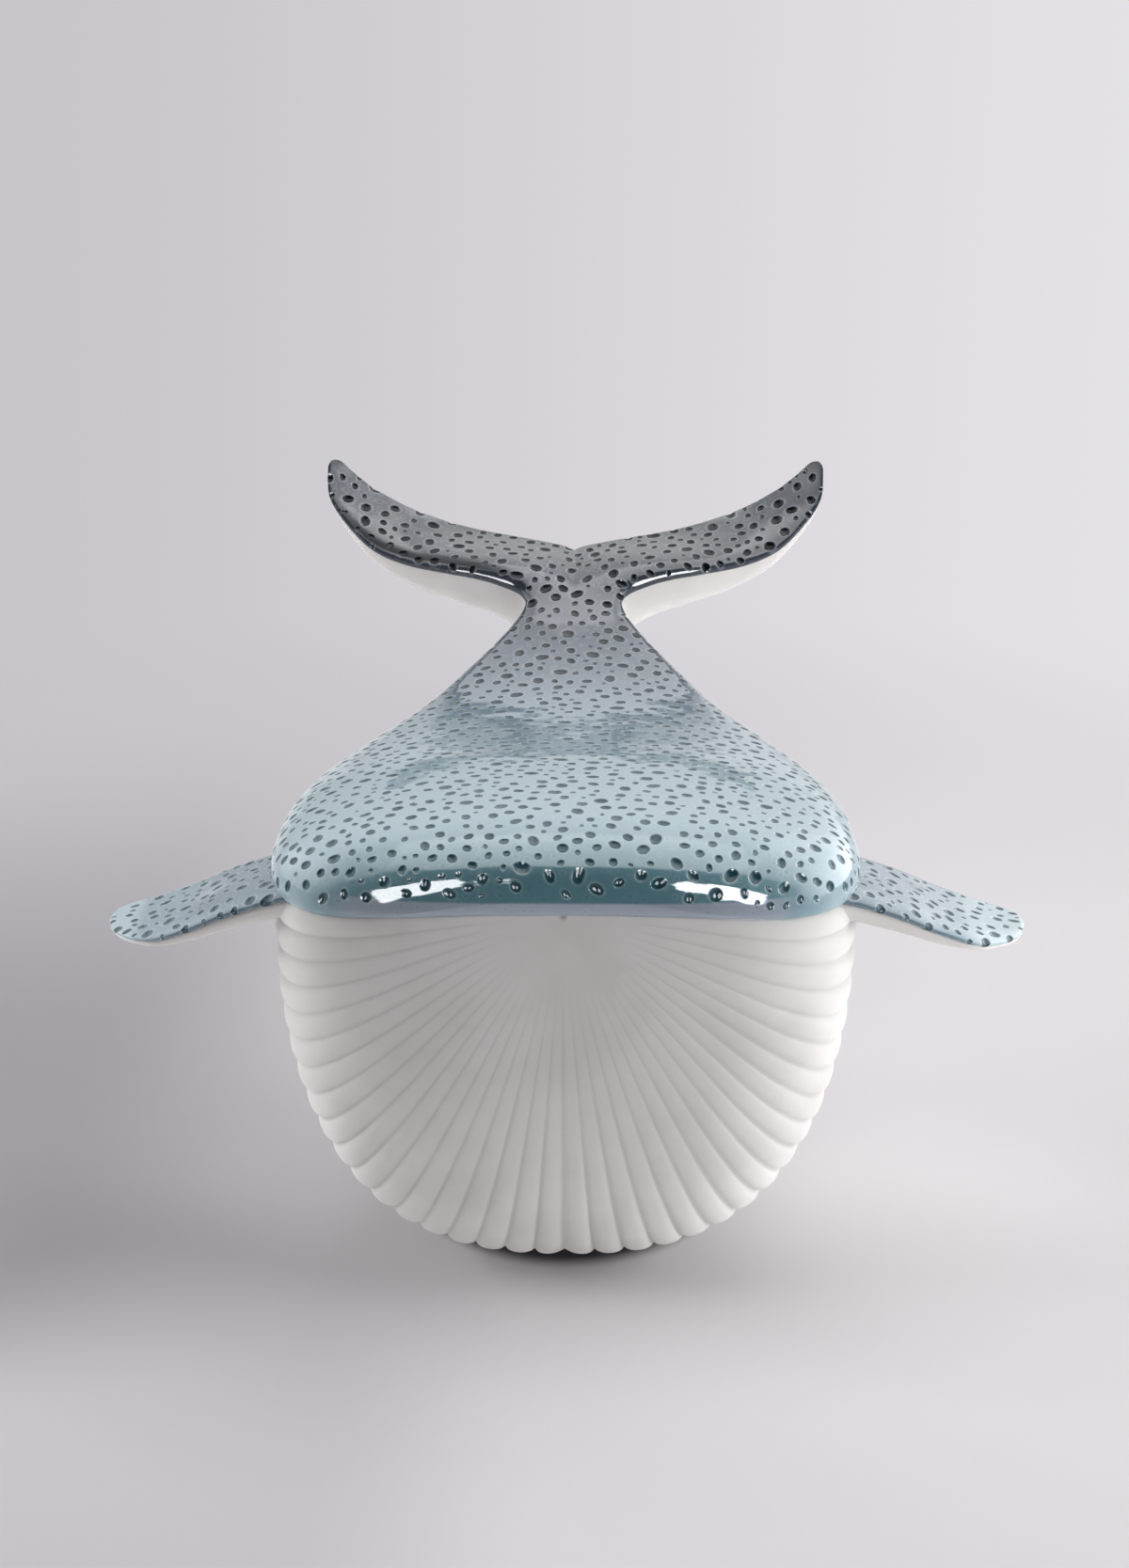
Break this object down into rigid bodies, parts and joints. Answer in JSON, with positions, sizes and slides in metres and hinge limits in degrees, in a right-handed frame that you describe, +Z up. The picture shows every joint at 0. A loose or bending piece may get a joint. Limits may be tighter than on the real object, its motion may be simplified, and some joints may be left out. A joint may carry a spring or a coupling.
{
  "type": "whale figurine",
  "caption": "Porcelain whale figurine with a dimpled, glazed back, flippers and upswept flukes over a matte ribbed throat pouch that rests on a low foot.",
  "frame": {"origin": "on the floor, under the middle of the figurine's bounding box", "axes": "+Z up, -Y towards the whale's head, +Y towards its tail, +X towards its left flipper"},
  "size_m": [0.351, 0.3616, 0.2431],
  "materials": {
    "glazed_back": "glossy pale blue-grey glaze, darker where it pools in the dimples, greyer towards the tail",
    "biscuit_belly": "matte unglazed white porcelain",
    "glazed_flipper": "glossy pale blue-grey glaze, dimpled",
    "biscuit_flipper": "matte unglazed white porcelain",
    "glazed_flukes": "glossy grey glaze with near-black dimples",
    "biscuit_flukes": "matte unglazed white porcelain"
  },
  "bodies": {
    "root": {"back_shell": "glazed_back", "belly_shell": "biscuit_belly", "left_flipper_top": "glazed_flipper", "left_flipper_under": "biscuit_flipper", "right_flipper_top": "glazed_flipper", "right_flipper_under": "biscuit_flipper", "flukes_top": "glazed_flukes", "flukes_under": "biscuit_flukes"}
  },
  "joints": []
}
